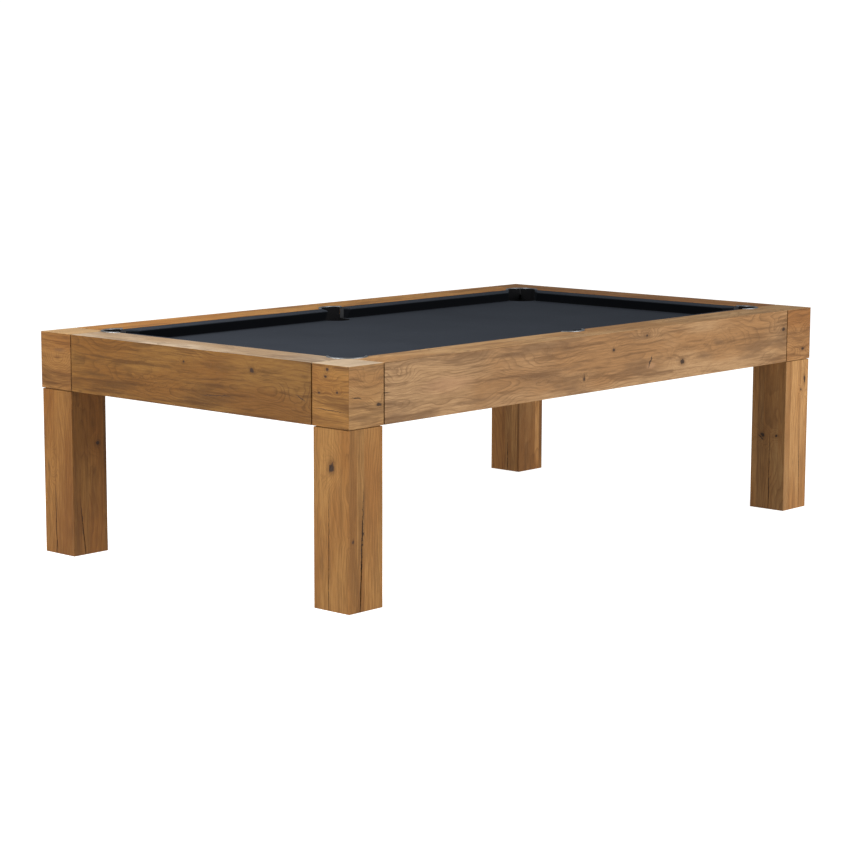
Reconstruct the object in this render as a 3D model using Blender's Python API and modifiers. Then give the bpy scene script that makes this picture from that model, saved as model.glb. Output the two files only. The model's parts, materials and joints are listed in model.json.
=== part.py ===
# A pool table in solid oak: four square legs, a boxed rail with corner blocks, a three-piece
# slate bed on a beam frame, six drop pockets and a screw leveller under each leg.
# +X runs from the head end to the foot end, +Z is up, and the origin is on the floor under
# the middle of the table. Left and right are as seen from the head end, looking to the foot.
import math

import bmesh
import bpy
from mathutils import Matrix, Vector

# Overall sizes, in metres.
TABLE_LENGTH = 2.6416
TABLE_WIDTH = 1.524
TABLE_HEIGHT = 0.8
APRON_HEIGHT = 0.202

# Woodwork.
BLOCK_SIDE = 0.162
REVEAL = 0.005
BOARD_THICKNESS = 0.028
LEG_INSET = 0.0025
SHADOW_GAP = 0.003
NECK_INSET = 0.006
CAP_STEP = 0.007

# Rails, from the cap's inner edge to the cushion's nose.
SHOULDER_WIDTH = 0.0162
CUSHION_DEPTH = 0.032
CUSHION_TOP_DROP = 0.0015
NOSE_HEIGHT = 0.0363
NOSE_RADIUS = 0.003
CUSHION_FOOT = 0.010

# Bed.
BED_DROP = 0.0445
CLOTH_THICKNESS = 0.001
SLATE_THICKNESS = 0.0254
SLATE_EDGE_OFFSET = 0.075

# Pockets.
LINER_RADIUS = 0.0545
LINER_WALL = 0.003
COLLAR_WIDTH = 0.0145
COLLAR_THICKNESS = 0.003
BUCKET_FLOOR = 0.004
BUCKET_FLOOR_BEVEL = 0.006
BUCKET_LIFT = 0.008
RIM_WIDTH = 0.010
RIM_THICKNESS = 0.0055
RIM_PROUD = 0.003
RIM_BEVEL = 0.002
CORNER_SETBACK = 0.0052
SIDE_SETBACK = 0.0202
CORNER_MOUTH_CUT = 0.0875
SIDE_MOUTH_HALF = 0.065
CORNER_FACING_ANGLE = math.radians(142.0)
SIDE_FACING_ANGLE = math.radians(104.0)

# Frame.
CROSS_BEAM_WIDTH = 0.09

# Levellers.
PAD_RADIUS = 0.030
PAD_THICKNESS = 0.006
PAD_LIFT = 0.001
BOSS_RADIUS = 0.012
BOSS_HEIGHT = 0.004
SCREW_RADIUS = 0.006
SCREW_LENGTH = 0.095
HEX_RADIUS = 0.011
HEX_HEIGHT = 0.008
SOCKET_DEPTH = 0.006
LEVELLER_TRAVEL = 0.020

# Clearances.
FIT = 0.0003
RUNNING_FIT = 0.0005
BORE_FIT = 0.0008
PAD_FIT = 0.004
COLLAR_GAP = 0.004

# Mesh fineness.
ROUND_STEPS = 48
BUCKET_STEPS = 32
SMALL_STEPS = 24

# Heights and offsets that follow. An offset is measured in from the table's outer edge. The
# slates are three equal lengths, so their seams are a third of the half length out.
half_length = TABLE_LENGTH / 2
half_width = TABLE_WIDTH / 2
apron_bottom = TABLE_HEIGHT - APRON_HEIGHT
leg_top = apron_bottom - SHADOW_GAP
leg_side = BLOCK_SIDE - 2 * LEG_INSET
cap_width = BLOCK_SIDE - CAP_STEP
cap_bottom = TABLE_HEIGHT - BOARD_THICKNESS
cushion_back = cap_width + SHOULDER_WIDTH
nose_offset = cushion_back + CUSHION_DEPTH
rail_end = BLOCK_SIDE + REVEAL
bed_top = TABLE_HEIGHT - BED_DROP
cloth_bottom = bed_top - CLOTH_THICKNESS
slate_top = cloth_bottom - FIT
slate_bottom = slate_top - SLATE_THICKNESS
beam_top = slate_bottom - FIT
beam_outer = BOARD_THICKNESS + FIT
liner_outer = LINER_RADIUS + LINER_WALL
bore_radius = liner_outer + BORE_FIT
collar_radius = liner_outer + COLLAR_WIDTH
rim_inner = liner_outer + RUNNING_FIT
rim_outer = rim_inner + RIM_WIDTH
rim_top = TABLE_HEIGHT + RIM_PROUD
rim_bottom = rim_top - RIM_THICKNESS
rebate_floor = rim_bottom - FIT
corner_pocket_offset = nose_offset - CORNER_SETBACK
side_pocket_offset = nose_offset - SIDE_SETBACK
beam_width = side_pocket_offset - collar_radius - COLLAR_GAP - beam_outer
beam_inner = beam_outer + beam_width
seam_x = (half_length - SLATE_EDGE_OFFSET) / 3
leg_centre_offset = LEG_INSET + leg_side / 2

# Colour, roughness and metallic value of each finish.
FINISHES = {
    "oak": ((0.42, 0.24, 0.11, 1.0), 0.55, 0.0),
    "frame timber": ((0.55, 0.40, 0.24, 1.0), 0.7, 0.0),
    "slate": ((0.12, 0.12, 0.13, 1.0), 0.8, 0.0),
    "cloth": ((0.05, 0.06, 0.075, 1.0), 0.95, 0.0),
    "rim metal": ((0.60, 0.60, 0.60, 1.0), 0.3, 1.0),
    "black plastic": ((0.01, 0.01, 0.01, 1.0), 0.6, 0.0),
    "steel": ((0.45, 0.45, 0.46, 1.0), 0.4, 1.0),
}

SIDE_NAMES = {-1: "right", 1: "left"}
END_NAMES = {-1: "head", 1: "foot"}


def clear_scene():
    for old in list(bpy.data.objects):
        bpy.data.objects.remove(old, do_unlink=True)


def new_collection(name):
    collection = bpy.data.collections.new(name)
    bpy.context.scene.collection.children.link(collection)
    return collection


def add_part(name, mesh, finish):
    part = bpy.data.objects.new(name, mesh)
    colour, roughness, metallic = FINISHES[finish]
    material = bpy.data.materials.new(name)
    material.use_nodes = True
    shader = material.node_tree.nodes["Principled BSDF"]
    shader.inputs["Base Color"].default_value = colour
    shader.inputs["Roughness"].default_value = roughness
    shader.inputs["Metallic"].default_value = metallic
    mesh.materials.append(material)
    parts.objects.link(part)
    return part


def add_cutter(name, mesh):
    cutter = bpy.data.objects.new(name, mesh)
    cutter.display_type = "WIRE"
    cutter.hide_render = True
    cutters.objects.link(cutter)
    return cutter


def mesh_from(name, bm):
    bmesh.ops.recalc_face_normals(bm, faces=bm.faces)
    mesh = bpy.data.meshes.new(name)
    bm.to_mesh(mesh)
    bm.free()
    return mesh


def box_mesh(name, low, high):
    bm = bmesh.new()
    size = Vector(high) - Vector(low)
    middle = (Vector(high) + Vector(low)) / 2
    place = Matrix.Translation(middle) @ Matrix.Diagonal(size).to_4x4()
    bmesh.ops.create_cube(bm, size=1.0, matrix=place)
    return mesh_from(name, bm)


def cylinder_mesh(name, centre, radius, bottom, top, segments):
    bm = bmesh.new()
    place = Matrix.Translation((centre[0], centre[1], (bottom + top) / 2))
    bmesh.ops.create_cone(
        bm,
        cap_ends=True,
        segments=segments,
        radius1=radius,
        radius2=radius,
        depth=top - bottom,
        matrix=place,
    )
    return mesh_from(name, bm)


# A section in offset and height, drawn out along the side between two stations. Each end may
# be cut by an upright plane, given as a point and the direction that is taken away.
def section_mesh(name, section, start, stop, half, planes=()):
    bm = bmesh.new()
    ring = [bm.verts.new((start, offset - half, height)) for offset, height in section]
    edges = [bm.edges.new((ring[i - 1], ring[i])) for i in range(len(ring))]
    face = bmesh.ops.edgeloop_fill(bm, edges=edges)["faces"][0]
    grown = bmesh.ops.extrude_face_region(bm, geom=[face])["geom"]
    moved = [item for item in grown if isinstance(item, bmesh.types.BMVert)]
    bmesh.ops.translate(bm, vec=(stop - start, 0, 0), verts=moved)
    for point, away in planes:
        everything = bm.verts[:] + bm.edges[:] + bm.faces[:]
        bmesh.ops.bisect_plane(
            bm, geom=everything, dist=1e-6, plane_co=point, plane_no=away, clear_outer=True
        )
        open_edges = [edge for edge in bm.edges if edge.is_boundary]
        bmesh.ops.edgeloop_fill(bm, edges=open_edges)
    return mesh_from(name, bm)


def turned_part(name, profile, centre, finish, steps):
    mesh = bpy.data.meshes.new(name)
    edges = [(i, i + 1) for i in range(len(profile) - 1)]
    mesh.from_pydata([(radius, 0, height) for radius, height in profile], edges, [])
    part = add_part(name, mesh, finish)
    part.location = centre
    screw = part.modifiers.new("Turn", "SCREW")
    screw.steps = steps
    screw.render_steps = steps
    screw.use_merge_vertices = True
    screw.merge_threshold = 0.0001
    return part


def boolean(part, other, operation="DIFFERENCE"):
    modifier = part.modifiers.new(other.name, "BOOLEAN")
    modifier.operation = operation
    modifier.solver = "EXACT"
    modifier.object = other


# The upright plane of a cushion's facing. Away points into the pocket's mouth: towards lower
# x with side -1, and towards higher x with side +1.
def facing_plane(nose_x, half, side, angle):
    lean = math.pi - angle
    point = (nose_x, nose_offset - half, 0)
    away = (side * math.sin(lean), math.cos(lean), 0)
    return point, away


def corner_name(end, side):
    return f"{END_NAMES[end]}_{SIDE_NAMES[side]}"


def pocket_places():
    places = {}
    for end in (-1, 1):
        for side in (-1, 1):
            x = end * (half_length - corner_pocket_offset)
            y = side * (half_width - corner_pocket_offset)
            places[corner_name(end, side)] = (x, y)
    for side in (-1, 1):
        places[f"side_{SIDE_NAMES[side]}"] = (0.0, side * (half_width - side_pocket_offset))
    return places


# A bore and a wider, shallow rebate for the rim at each pocket.
def make_pocket_cutters(places):
    bores = {}
    rebates = {}
    above = rim_top + BED_DROP
    below = slate_bottom - SLATE_THICKNESS
    for name, centre in places.items():
        mesh = cylinder_mesh(f"bore_{name}", centre, bore_radius, below, above, ROUND_STEPS)
        bores[name] = add_cutter(f"bore_{name}", mesh)
        wide = rim_outer + FIT
        mesh = cylinder_mesh(f"rebate_{name}", centre, wide, rebate_floor, above, ROUND_STEPS)
        rebates[name] = add_cutter(f"rebate_{name}", mesh)
    return bores, rebates


# The slot that opens each pocket's hole in the slate to the slate's own edge.
def make_slate_slots(places):
    slots = {}
    reach = 2 * nose_offset
    low = (-bore_radius, 0, slate_bottom - SLATE_THICKNESS)
    high = (bore_radius, reach, rim_top + BED_DROP)
    for name, (x, y) in places.items():
        slot = add_cutter(f"slot_{name}", box_mesh(f"slot_{name}", low, high))
        slot.location = (x, y, 0)
        outward = Vector((math.copysign(1, x) if x else 0.0, math.copysign(1, y)))
        slot.rotation_euler.z = math.atan2(outward.y, outward.x) - math.pi / 2
        slots[name] = slot
    return slots


# All that lies inside the cloth line, above the slate.
def make_field_cutter():
    x = half_length - cap_width + FIT
    y = half_width - cap_width + FIT
    low = (-x, -y, slate_top - FIT)
    high = (x, y, rim_top + BED_DROP)
    return add_cutter("field", box_mesh("field", low, high))


def make_legs():
    recess = PAD_RADIUS + PAD_FIT
    recess_depth = PAD_LIFT + PAD_THICKNESS + BOSS_HEIGHT + HEX_HEIGHT + PAD_FIT
    bore_top = PAD_LIFT + PAD_THICKNESS + SCREW_LENGTH + LEVELLER_TRAVEL
    for end in (-1, 1):
        for side in (-1, 1):
            name = f"leg_{corner_name(end, side)}"
            bm = bmesh.new()
            place = Matrix.Translation((0, 0, leg_top / 2))
            place = place @ Matrix.Diagonal((leg_side, leg_side, leg_top)).to_4x4()
            bmesh.ops.create_cube(bm, size=1.0, matrix=place)
            top = [face for face in bm.faces if face.normal.z > 0.5]
            bmesh.ops.inset_region(bm, faces=top, thickness=NECK_INSET)
            neck = bmesh.ops.extrude_face_region(bm, geom=top)["geom"]
            bmesh.ops.delete(bm, geom=top, context="FACES_ONLY")
            raised = [item for item in neck if isinstance(item, bmesh.types.BMVert)]
            bmesh.ops.translate(bm, vec=(0, 0, SHADOW_GAP - FIT), verts=raised)
            leg = add_part(name, mesh_from(name, bm), "oak")
            x = end * (half_length - leg_centre_offset)
            y = side * (half_width - leg_centre_offset)
            leg.location = (x, y, 0)
            mesh = cylinder_mesh("recess", (x, y), recess, -PAD_FIT, recess_depth, SMALL_STEPS)
            boolean(leg, add_cutter(f"recess_{name}", mesh))
            radius = SCREW_RADIUS + RUNNING_FIT
            mesh = cylinder_mesh("screw_hole", (x, y), radius, 0.0, bore_top, SMALL_STEPS)
            boolean(leg, add_cutter(f"screw_hole_{name}", mesh))


def make_corner_blocks(bores, rebates):
    for end in (-1, 1):
        for side in (-1, 1):
            corner = corner_name(end, side)
            x_outer = end * half_length
            y_outer = side * half_width
            x_inner = end * (half_length - BLOCK_SIDE)
            y_inner = side * (half_width - BLOCK_SIDE)
            low = (min(x_outer, x_inner), min(y_outer, y_inner), apron_bottom)
            high = (max(x_outer, x_inner), max(y_outer, y_inner), TABLE_HEIGHT)
            name = f"corner_block_{corner}"
            block = add_part(name, box_mesh(name, low, high), "oak")
            x_wall = end * (half_length - BOARD_THICKNESS)
            y_wall = side * (half_width - BOARD_THICKNESS)
            x_past = x_inner - end * BLOCK_SIDE
            y_past = y_inner - side * BLOCK_SIDE
            low = (min(x_wall, x_past), min(y_wall, y_past), apron_bottom - BLOCK_SIDE)
            high = (max(x_wall, x_past), max(y_wall, y_past), cap_bottom)
            boolean(block, add_cutter(f"hollow_{corner}", box_mesh("hollow", low, high)))
            boolean(block, bores[corner])
            boolean(block, rebates[corner])


# The four sides: the turn that brings the right-hand side into place, and the spans.
def table_sides():
    quarter = math.pi / 2
    return {
        "right": (0.0, half_width, half_length),
        "left": (2 * quarter, half_width, half_length),
        "head": (-quarter, half_length, half_width),
        "foot": (quarter, half_length, half_width),
    }


def pockets_on(side):
    if side in ("right", "left"):
        return [f"head_{side}", f"side_{side}", f"foot_{side}"]
    return [f"{side}_right", f"{side}_left"]


def make_aprons_and_caps(bores, rebates):
    apron_section = [
        (0, apron_bottom),
        (BOARD_THICKNESS, apron_bottom),
        (BOARD_THICKNESS, cap_bottom - FIT),
        (0, TABLE_HEIGHT - FIT),
    ]
    cap_section = [
        (BOARD_THICKNESS, cap_bottom),
        (cap_width, cap_bottom),
        (cap_width, TABLE_HEIGHT),
        (0, TABLE_HEIGHT),
    ]
    for side, (turn, half, span) in table_sides().items():
        reach = span - rail_end
        name = f"apron_{side}"
        mesh = section_mesh(name, apron_section, -reach, reach, half)
        apron = add_part(name, mesh, "oak")
        apron.rotation_euler.z = turn
        name = f"rail_cap_{side}"
        cap = add_part(name, section_mesh(name, cap_section, -reach, reach, half), "oak")
        cap.rotation_euler.z = turn
        for pocket in pockets_on(side):
            boolean(cap, bores[pocket])
            boolean(cap, rebates[pocket])


# Where each of a side's rails starts and stops, with the facing plane of each of its ends.
def rail_runs(side, half, span):
    corner_nose = span - nose_offset - CORNER_MOUTH_CUT
    head_end = facing_plane(-corner_nose, half, -1, CORNER_FACING_ANGLE)
    foot_end = facing_plane(corner_nose, half, 1, CORNER_FACING_ANGLE)
    if side in ("head", "foot"):
        return {side: (head_end, foot_end)}
    before = facing_plane(-SIDE_MOUTH_HALF, half, 1, SIDE_FACING_ANGLE)
    after = facing_plane(SIDE_MOUTH_HALF, half, -1, SIDE_FACING_ANGLE)
    first, second = ("head", "foot") if side == "right" else ("foot", "head")
    return {f"{side}_{first}": (head_end, before), f"{side}_{second}": (after, foot_end)}


# The subrail lies under the cap, and its shoulder stands up behind the cushion's back.
def make_rails(bores):
    shoulder_top = TABLE_HEIGHT - CUSHION_TOP_DROP - CLOTH_THICKNESS
    nose_z = bed_top + NOSE_HEIGHT
    back_top = TABLE_HEIGHT - CUSHION_TOP_DROP
    subrail_section = [
        (beam_outer, bed_top + FIT),
        (cushion_back, bed_top + FIT),
        (cushion_back, shoulder_top),
        (cap_width + FIT, shoulder_top),
        (cap_width + FIT, cap_bottom - FIT),
        (beam_outer, cap_bottom - FIT),
    ]
    cushion_section = [
        (cushion_back + FIT, bed_top + NOSE_RADIUS),
        (cushion_back + CUSHION_FOOT, bed_top + NOSE_RADIUS),
        (nose_offset - NOSE_RADIUS, nose_z - NOSE_RADIUS),
        (nose_offset, nose_z),
        (nose_offset - NOSE_RADIUS / 2, nose_z + NOSE_RADIUS / 2),
        (cushion_back + CUSHION_FOOT, back_top),
        (cushion_back + FIT, back_top),
    ]
    for side, (turn, half, span) in table_sides().items():
        reach = span - rail_end
        for rail, planes in rail_runs(side, half, span).items():
            for kind, section, finish in (
                ("subrail", subrail_section, "frame timber"),
                ("cushion", cushion_section, "cloth"),
            ):
                name = f"{kind}_{rail}"
                mesh = section_mesh(name, section, -reach, reach, half, planes)
                piece = add_part(name, mesh, finish)
                piece.rotation_euler.z = turn
                for pocket in pockets_on(side):
                    boolean(piece, bores[pocket])


def make_bed(bores, slots):
    edge_x = half_length - SLATE_EDGE_OFFSET
    edge_y = half_width - SLATE_EDGE_OFFSET
    spans = {
        "head": (-edge_x, -seam_x - FIT / 2),
        "middle": (-seam_x + FIT / 2, seam_x - FIT / 2),
        "foot": (seam_x + FIT / 2, edge_x),
    }
    for place, (start, stop) in spans.items():
        low = (start, -edge_y, slate_bottom)
        high = (stop, edge_y, slate_top)
        name = f"slate_{place}"
        slate = add_part(name, box_mesh(name, low, high), "slate")
        pocket_end = "side" if place == "middle" else place
        for side in ("right", "left"):
            boolean(slate, bores[f"{pocket_end}_{side}"])
            boolean(slate, slots[f"{pocket_end}_{side}"])
    low = (-edge_x, -edge_y, cloth_bottom)
    high = (edge_x, edge_y, bed_top)
    cloth = add_part("bed_cloth", box_mesh("bed_cloth", low, high), "cloth")
    for pocket, bore in bores.items():
        boolean(cloth, bore)
        boolean(cloth, slots[pocket])


# Each liner's lip stands flush with the wood, inside its metal rim.
def make_pockets(places, field):
    floor = apron_bottom + BUCKET_LIFT
    collar_top = beam_top
    collar_bottom = collar_top - COLLAR_THICKNESS
    bucket_profile = [
        (0, floor + BUCKET_FLOOR),
        (LINER_RADIUS - BUCKET_FLOOR_BEVEL, floor + BUCKET_FLOOR),
        (LINER_RADIUS, floor + BUCKET_FLOOR + BUCKET_FLOOR_BEVEL),
        (LINER_RADIUS, TABLE_HEIGHT),
        (liner_outer, TABLE_HEIGHT),
        (liner_outer, collar_top),
        (collar_radius, collar_top),
        (collar_radius, collar_bottom),
        (liner_outer, collar_bottom),
        (liner_outer, floor + BUCKET_FLOOR_BEVEL),
        (liner_outer - BUCKET_FLOOR_BEVEL, floor),
        (0, floor),
    ]
    rim_profile = [
        (rim_inner, rim_top - RIM_BEVEL),
        (rim_inner + RIM_BEVEL, rim_top),
        (rim_outer - RIM_BEVEL, rim_top),
        (rim_outer, rim_top - RIM_BEVEL),
        (rim_outer, rim_bottom),
        (rim_inner, rim_bottom),
        (rim_inner, rim_top - RIM_BEVEL),
    ]
    for name, (x, y) in places.items():
        bucket = turned_part(
            f"pocket_bucket_{name}", bucket_profile, (x, y, 0), "black plastic", BUCKET_STEPS
        )
        boolean(bucket, field)
        rim = turned_part(f"pocket_rim_{name}", rim_profile, (x, y, 0), "rim metal", ROUND_STEPS)
        boolean(rim, field)


def make_frame():
    x_end = half_length - beam_outer
    x_inner = half_length - beam_inner
    y_outer = half_width - beam_outer
    y_inner = half_width - beam_inner
    cross_half = CROSS_BEAM_WIDTH / 2
    spans = {
        "side_beam_right": ((-x_end, -y_outer), (x_end, -y_inner)),
        "side_beam_left": ((-x_end, y_inner), (x_end, y_outer)),
        "end_beam_head": ((-x_end, FIT - y_inner), (-x_inner, y_inner - FIT)),
        "end_beam_foot": ((x_inner, FIT - y_inner), (x_end, y_inner - FIT)),
        "cross_beam_head": (
            (-seam_x - cross_half, FIT - y_inner),
            (-seam_x + cross_half, y_inner - FIT),
        ),
        "cross_beam_foot": (
            (seam_x - cross_half, FIT - y_inner),
            (seam_x + cross_half, y_inner - FIT),
        ),
        "centre_beam": (
            (-seam_x + cross_half + FIT, -cross_half),
            (seam_x - cross_half - FIT, cross_half),
        ),
    }
    for name, (low, high) in spans.items():
        mesh = box_mesh(name, (*low, apron_bottom), (*high, beam_top))
        add_part(name, mesh, "frame timber")


def make_levellers():
    plate_top = PAD_LIFT + PAD_THICKNESS
    boss_top = plate_top + BOSS_HEIGHT
    screw_foot = boss_top - SOCKET_DEPTH + RUNNING_FIT
    hex_bottom = boss_top + RUNNING_FIT
    pad_profile = [
        (0, boss_top - SOCKET_DEPTH),
        (SCREW_RADIUS + RUNNING_FIT, boss_top - SOCKET_DEPTH),
        (SCREW_RADIUS + RUNNING_FIT, boss_top),
        (BOSS_RADIUS, boss_top),
        (BOSS_RADIUS, plate_top),
        (PAD_RADIUS, plate_top),
        (PAD_RADIUS, PAD_LIFT),
        (0, PAD_LIFT),
    ]
    screw_profile = [
        (0, screw_foot + SCREW_LENGTH),
        (SCREW_RADIUS, screw_foot + SCREW_LENGTH),
        (SCREW_RADIUS, screw_foot),
        (0, screw_foot),
    ]
    for end in (-1, 1):
        for side in (-1, 1):
            corner = corner_name(end, side)
            x = end * (half_length - leg_centre_offset)
            y = side * (half_width - leg_centre_offset)
            turned_part(
                f"leveller_pad_{corner}", pad_profile, (x, y, 0), "black plastic", SMALL_STEPS
            )
            screw = turned_part(
                f"leveller_screw_{corner}", screw_profile, (x, y, 0), "steel", SMALL_STEPS
            )
            hex_top = hex_bottom + HEX_HEIGHT
            mesh = cylinder_mesh("hex", (x, y), HEX_RADIUS, hex_bottom, hex_top, 6)
            boolean(screw, add_cutter(f"hex_{corner}", mesh), "UNION")


clear_scene()
parts = new_collection("pool_table")
cutters = new_collection("cutters")
pockets = pocket_places()
bore_cutters, rebate_cutters = make_pocket_cutters(pockets)
slate_slots = make_slate_slots(pockets)
make_legs()
make_corner_blocks(bore_cutters, rebate_cutters)
make_aprons_and_caps(bore_cutters, rebate_cutters)
make_rails(bore_cutters)
make_bed(bore_cutters, slate_slots)
make_pockets(pockets, make_field_cutter())
make_frame()
make_levellers()
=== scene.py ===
# A pool table in knotty oak with a slate bed, dark cloth and six drop pockets.
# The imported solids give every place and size; the pieces that show are made again here.
import json
import math

import bpy
from mathutils import Matrix, Vector, noise

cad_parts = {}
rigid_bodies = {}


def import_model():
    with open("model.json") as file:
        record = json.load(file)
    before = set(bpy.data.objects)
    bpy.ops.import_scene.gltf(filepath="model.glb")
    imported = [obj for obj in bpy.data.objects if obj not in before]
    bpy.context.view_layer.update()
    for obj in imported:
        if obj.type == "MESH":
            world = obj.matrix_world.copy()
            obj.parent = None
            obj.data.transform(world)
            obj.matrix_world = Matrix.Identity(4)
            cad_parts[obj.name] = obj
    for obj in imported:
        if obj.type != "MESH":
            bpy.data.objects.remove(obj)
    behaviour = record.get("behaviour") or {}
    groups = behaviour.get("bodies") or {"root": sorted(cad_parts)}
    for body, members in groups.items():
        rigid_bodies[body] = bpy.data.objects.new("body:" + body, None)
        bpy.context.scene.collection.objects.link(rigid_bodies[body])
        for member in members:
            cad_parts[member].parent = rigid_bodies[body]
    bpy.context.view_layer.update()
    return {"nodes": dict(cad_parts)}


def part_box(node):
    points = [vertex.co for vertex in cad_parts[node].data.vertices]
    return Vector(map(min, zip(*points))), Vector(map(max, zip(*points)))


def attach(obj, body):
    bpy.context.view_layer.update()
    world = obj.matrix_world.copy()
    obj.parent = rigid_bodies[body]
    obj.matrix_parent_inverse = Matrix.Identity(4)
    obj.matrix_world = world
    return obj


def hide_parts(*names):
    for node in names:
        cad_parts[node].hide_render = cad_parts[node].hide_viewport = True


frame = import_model()
scene = bpy.context.scene
ends = {-1: "head", 1: "foot"}
sides = {-1: "right", 1: "left"}
corners = [(end, side, ends[end] + "_" + sides[side]) for end in (-1, 1) for side in (-1, 1)]
pocketNames = [name for end, side, name in corners] + ["side_right", "side_left"]
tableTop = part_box("rail_cap_right")[1].z
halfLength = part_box("rail_cap_foot")[1].x
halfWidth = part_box("rail_cap_left")[1].y
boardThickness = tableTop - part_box("rail_cap_right")[0].z
print("frame loaded, top at", round(tableTop, 4))


# Small helpers for working with one object at a time.
def deselectAll():
    for each in bpy.context.view_layer.objects:
        each.select_set(False)


def makeActive(piece):
    deselectAll()
    piece.select_set(True)
    bpy.context.view_layer.objects.active = piece


def settle(piece):
    makeActive(piece)
    bpy.ops.object.transform_apply(location=True, rotation=True, scale=True)
    return piece


def addBox(name, low, high):
    deselectAll()
    low, high = Vector(low), Vector(high)
    bpy.ops.mesh.primitive_cube_add(size=1, location=(low + high) / 2, scale=high - low)
    piece = bpy.context.object
    piece.name = name
    return settle(piece)


def addCylinder(name, centre, radius, bottom, top, vertices=96):
    deselectAll()
    bpy.ops.mesh.primitive_cylinder_add(
        vertices=vertices,
        radius=radius,
        depth=top - bottom,
        location=(centre[0], centre[1], (bottom + top) / 2),
    )
    piece = bpy.context.object
    piece.name = name
    return settle(piece)


# Runs an edit-mode operator on the faces that a test picks.
def onFaces(piece, test, work):
    makeActive(piece)
    for vertex in piece.data.vertices:
        vertex.select = False
    for edge in piece.data.edges:
        edge.select = False
    for face in piece.data.polygons:
        face.select = bool(test(face))
    bpy.ops.object.mode_set(mode="EDIT")
    bpy.ops.mesh.select_mode(type="FACE")
    work()
    bpy.ops.object.mode_set(mode="OBJECT")


# Runs an edit-mode operator on the edges that a test of their two ends picks.
def onEdges(piece, test, work):
    makeActive(piece)
    bpy.ops.object.mode_set(mode="EDIT")
    bpy.ops.mesh.select_mode(type="EDGE")
    bpy.ops.mesh.select_all(action="DESELECT")
    bpy.ops.object.mode_set(mode="OBJECT")
    vertices = piece.data.vertices
    for edge in piece.data.edges:
        edge.select = test(*(vertices[index] for index in edge.vertices))
    bpy.ops.object.mode_set(mode="EDIT")
    work()
    bpy.ops.object.mode_set(mode="OBJECT")


def onAll(piece, work):
    makeActive(piece)
    bpy.ops.object.mode_set(mode="EDIT")
    bpy.ops.mesh.select_all(action="SELECT")
    work()
    bpy.ops.object.mode_set(mode="OBJECT")


def evenOut(piece):
    onAll(piece, lambda: bpy.ops.mesh.normals_make_consistent(inside=False))


def sawAlong(piece, point, away):
    def work():
        bpy.ops.mesh.bisect(
            plane_co=point, plane_no=away, use_fill=True, clear_outer=True, threshold=1e-6
        )
    onAll(piece, work)


def applyModifier(piece, modifier):
    makeActive(piece)
    bpy.ops.object.modifier_apply(modifier=modifier.name)


def cutWith(piece, cutter, operation="DIFFERENCE"):
    modifier = piece.modifiers.new("Cut", "BOOLEAN")
    modifier.operation = operation
    modifier.solver = "EXACT"
    modifier.object = cutter
    applyModifier(piece, modifier)
    bpy.data.objects.remove(cutter)


# Keeps broad flat faces flat beside their rounded edges.
def evenNormals(piece):
    modifier = piece.modifiers.new("Even normals", "WEIGHTED_NORMAL")
    modifier.keep_sharp = True
    modifier.weight = 90
    applyModifier(piece, modifier)


def smoothBelow(piece, degrees):
    makeActive(piece)
    bpy.ops.object.shade_smooth_by_angle(angle=math.radians(degrees))


def easeEdges(piece, width, segments=2, angle=32.0):
    modifier = piece.modifiers.new("Ease", "BEVEL")
    modifier.width = width
    modifier.segments = segments
    modifier.limit_method = "ANGLE"
    modifier.angle_limit = math.radians(angle)
    applyModifier(piece, modifier)
    smoothBelow(piece, 28)
    evenNormals(piece)


# A copy with its own mesh, moved across to stand over a place.
def copyAt(piece, name, place):
    twin = piece.copy()
    twin.data = piece.data.copy()
    twin.name = name
    scene.collection.objects.link(twin)
    twin.location = (place[0], place[1], 0)
    return settle(twin)


# Joins points in a ring, filled, hollow or left open between its first and last points.
def drawRing(name, points, fill="NOTHING", leaveOpen=False):
    deselectAll()
    bpy.ops.mesh.primitive_circle_add(vertices=len(points), fill_type=fill)
    piece = bpy.context.object
    piece.name = name
    for vertex, point in zip(piece.data.vertices, points):
        vertex.co = point
    if leaveOpen:
        last = {0, len(points) - 1}
        onEdges(piece, lambda a, b: {a.index, b.index} == last,
                lambda: bpy.ops.mesh.delete(type="EDGE"))
    return piece


# Draws a closed outline of (offset, height) points out along x.
def drawSection(name, outline, start, stop):
    points = [(start, offset, height) for offset, height in outline]
    piece = drawRing(name, points, "NGON")

    def work():
        bpy.ops.mesh.extrude_region_move(
            TRANSFORM_OT_translate={"value": (stop - start, 0, 0)}
        )
        bpy.ops.mesh.select_all(action="SELECT")
        bpy.ops.mesh.normals_make_consistent(inside=False)
    onAll(piece, work)
    return piece


# Winds an outline about the upright axis through the origin.
def wind(piece, steps, merge, pitch=0.0, turns=1):
    modifier = piece.modifiers.new("Wind", "SCREW")
    modifier.steps = steps
    modifier.render_steps = steps
    modifier.screw_offset = pitch
    modifier.iterations = turns
    modifier.use_merge_vertices = True
    modifier.merge_threshold = merge
    applyModifier(piece, modifier)


# Turns an outline of (radius, height) points. One that starts and ends on the axis is open.
def turn(name, outline, steps=64):
    points = [(radius, 0, height) for radius, height in outline]
    piece = drawRing(name, points, leaveOpen=outline[0][0] == 0 and outline[-1][0] == 0)
    wind(piece, steps, 0.00005)
    evenOut(piece)
    smoothBelow(piece, 35)
    return piece


def finishPiece(piece, body, slotName, material, *nodes):
    piece.data.materials.clear()
    piece.data.materials.append(material)
    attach(piece, body)
    if nodes:
        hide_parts(*nodes)
    return piece


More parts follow.
